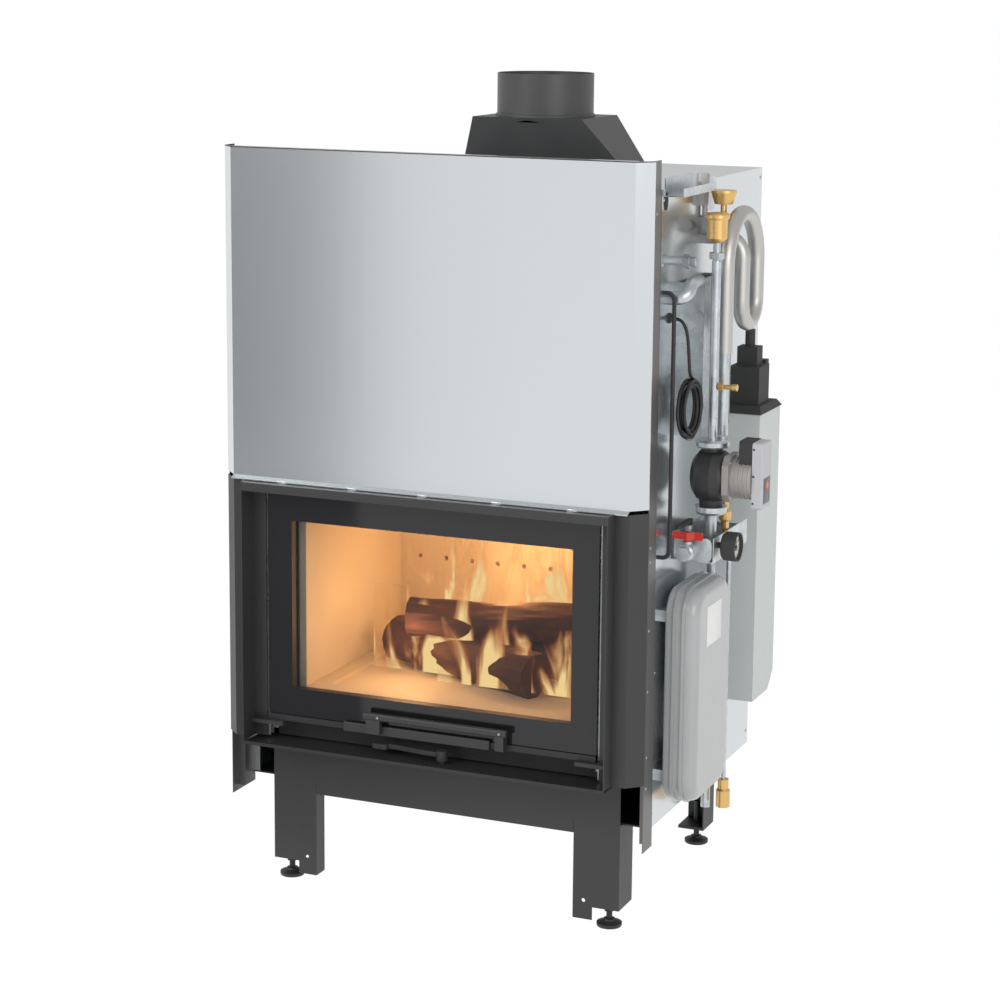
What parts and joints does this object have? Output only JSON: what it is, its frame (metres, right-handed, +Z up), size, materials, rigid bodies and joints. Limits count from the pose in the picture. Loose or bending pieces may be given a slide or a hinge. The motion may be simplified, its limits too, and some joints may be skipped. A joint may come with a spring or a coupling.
{
  "type": "fireplace insert",
  "caption": "Water-heating fireplace insert with a lifting glass door, folded cover, flue hood and pump group with expansion vessel on its right side",
  "frame": {"origin": "centre of the overall box, on the floor under the feet", "axes": "+X to the hydraulic side, which is the viewer's right, +Y from the door to the back, +Z up"},
  "size_m": [1.048, 0.747, 1.627],
  "materials": {
    "zinc_sheet": "satin zinc-coated sheet",
    "black_steel": "matt heat-proof black paint",
    "plain_steel": "grey primed boiler plate",
    "flue_steel": "dark grey heat-proof paint",
    "fireclay": "pale fireclay",
    "door_glass": "clear ceramic glass with a black printed border",
    "handle_steel": "dark grey satin paint",
    "bright_steel": "plain turned steel",
    "galvanised": "galvanised sheet and pipe",
    "pewter_pipe": "satin pewter-coloured pipe",
    "brass": "plain machined brass",
    "cast_black": "black painted casting",
    "cast_grey": "sand-textured casting",
    "black_plastic": "matt black plastic",
    "grey_plastic": "light grey plastic",
    "red_plastic": "red dipped handle",
    "vessel_paint": "light grey gloss paint",
    "box_paint": "pale grey powder coat",
    "cable_rubber": "black cable sheath"
  },
  "bodies": {
    "stove": {"front_base": "black_steel", "base_side_left": "black_steel", "base_side_right": "black_steel", "floor_plate": "black_steel", "side_panels": "zinc_sheet", "back_panel": "zinc_sheet", "top_plate": "zinc_sheet", "firebox_front": "black_steel", "water_jacket": "plain_steel", "firebrick_lining": "fireclay", "baffle": "fireclay", "air_collar": "black_steel", "smoke_hood": "flue_steel", "flue_collar": "flue_steel", "upper_cover": "zinc_sheet", "side_rails": "black_steel", "portal_pillars": "black_steel", "portal_head": "black_steel", "portal_ledge": "black_steel", "lift_guides": "galvanised", "lift_ropes": "bright_steel", "lift_brackets": "galvanised", "mounting_brackets": "galvanised", "riser_pipe": "galvanised", "connecting_pipes": "galvanised", "brass_fittings": "brass", "heating_loop": "pewter_pipe", "pump_housing": "cast_black", "pump_motor": "cast_grey", "pump_terminal_block": "black_plastic", "pump_control_box": "grey_plastic", "drain_tray": "galvanised", "valve_bodies": "galvanised", "pressure_gauge": "black_plastic", "expansion_vessel": "vessel_paint", "electrical_box": "box_paint", "cable_inlets": "black_plastic", "sensor_tube": "black_plastic", "thermal_valve": "cast_grey", "sensor_cable": "cable_rubber", "sensor_cable_coil": "cable_rubber"},
    "door": {"door_glass": "door_glass", "door_frame": "black_steel", "door_handle": "handle_steel", "door_fittings": "bright_steel"},
    "lift_shaft": {"lift_shaft": "bright_steel"},
    "idler_left": {"idler_left": "bright_steel"},
    "idler_right": {"idler_right": "bright_steel"},
    "counterweight_left": {"counterweight_left": "plain_steel"},
    "counterweight_right": {"counterweight_right": "plain_steel"},
    "air_lever": {"air_lever": "handle_steel"},
    "butterfly_handle": {"butterfly_handle": "red_plastic"},
    "shutoff_lever": {"shutoff_lever": "black_plastic"},
    "gauge_needle": {"gauge_needle": "black_plastic"},
    "pump_rotor": {"pump_rotor": "bright_steel"},
    "foot_front_left": {"foot_front_left": "black_steel"},
    "foot_front_right": {"foot_front_right": "black_steel"},
    "foot_rear_left": {"foot_rear_left": "black_steel"},
    "foot_rear_right": {"foot_rear_right": "black_steel"}
  },
  "joints": [
    {"name": "door_lift", "type": "slide", "parent": "stove", "child": "door", "axis": [0, 0, 1], "range_m": [0, 0.42]},
    {"name": "lift_shaft_turn", "type": "hinge", "parent": "stove", "child": "lift_shaft", "pos_m": [-0.081, -0.2935, 1.462], "axis": [-1, 0, 0], "continuous": true},
    {"name": "idler_left_turn", "type": "hinge", "parent": "stove", "child": "idler_left", "pos_m": [-0.447, -0.2935, 0.445], "axis": [-1, 0, 0], "continuous": true},
    {"name": "idler_right_turn", "type": "hinge", "parent": "stove", "child": "idler_right", "pos_m": [0.285, -0.2935, 0.445], "axis": [-1, 0, 0], "continuous": true},
    {"name": "counterweight_left_drop", "type": "slide", "parent": "stove", "child": "counterweight_left", "axis": [0, 0, 1], "range_m": [-0.421, 0]},
    {"name": "counterweight_right_drop", "type": "slide", "parent": "stove", "child": "counterweight_right", "axis": [0, 0, 1], "range_m": [-0.421, 0]},
    {"name": "air_lever_swing", "type": "hinge", "parent": "stove", "child": "air_lever", "pos_m": [-0.048, -0.3335, 0.336], "axis": [0, 0, 1], "range_deg": [0, 40]},
    {"name": "butterfly_turn", "type": "hinge", "parent": "stove", "child": "butterfly_handle", "pos_m": [0.394, -0.1835, 0.77], "axis": [0, 0, 1], "range_deg": [0, 90]},
    {"name": "shutoff_turn", "type": "hinge", "parent": "stove", "child": "shutoff_lever", "pos_m": [0.377, -0.1295, 0.79], "axis": [0, 0, 1], "range_deg": [0, 90]},
    {"name": "needle_turn", "type": "hinge", "parent": "stove", "child": "gauge_needle", "pos_m": [0.473, -0.1305, 0.756], "axis": [1, 0, 0], "range_deg": [-135, 135]},
    {"name": "pump_rotor_spin", "type": "hinge", "parent": "stove", "child": "pump_rotor", "pos_m": [0.419, -0.1085, 0.887], "axis": [1, 0, 0], "continuous": true},
    {"name": "foot_front_left_screw", "type": "slide", "parent": "stove", "child": "foot_front_left", "axis": [0, 0, 1], "range_m": [-0.03, 0]},
    {"name": "foot_front_right_screw", "type": "slide", "parent": "stove", "child": "foot_front_right", "axis": [0, 0, 1], "range_m": [-0.03, 0]},
    {"name": "foot_rear_left_screw", "type": "slide", "parent": "stove", "child": "foot_rear_left", "axis": [0, 0, 1], "range_m": [-0.03, 0]},
    {"name": "foot_rear_right_screw", "type": "slide", "parent": "stove", "child": "foot_rear_right", "axis": [0, 0, 1], "range_m": [-0.03, 0]}
  ],
  "couplings": [
    {"joint": "lift_shaft_turn", "follows": "door_lift", "rad_per_m": 50},
    {"joint": "idler_left_turn", "follows": "door_lift", "rad_per_m": 50},
    {"joint": "idler_right_turn", "follows": "door_lift", "rad_per_m": 50},
    {"joint": "counterweight_left_drop", "follows": "door_lift", "ratio": -1},
    {"joint": "counterweight_right_drop", "follows": "door_lift", "ratio": -1}
  ]
}
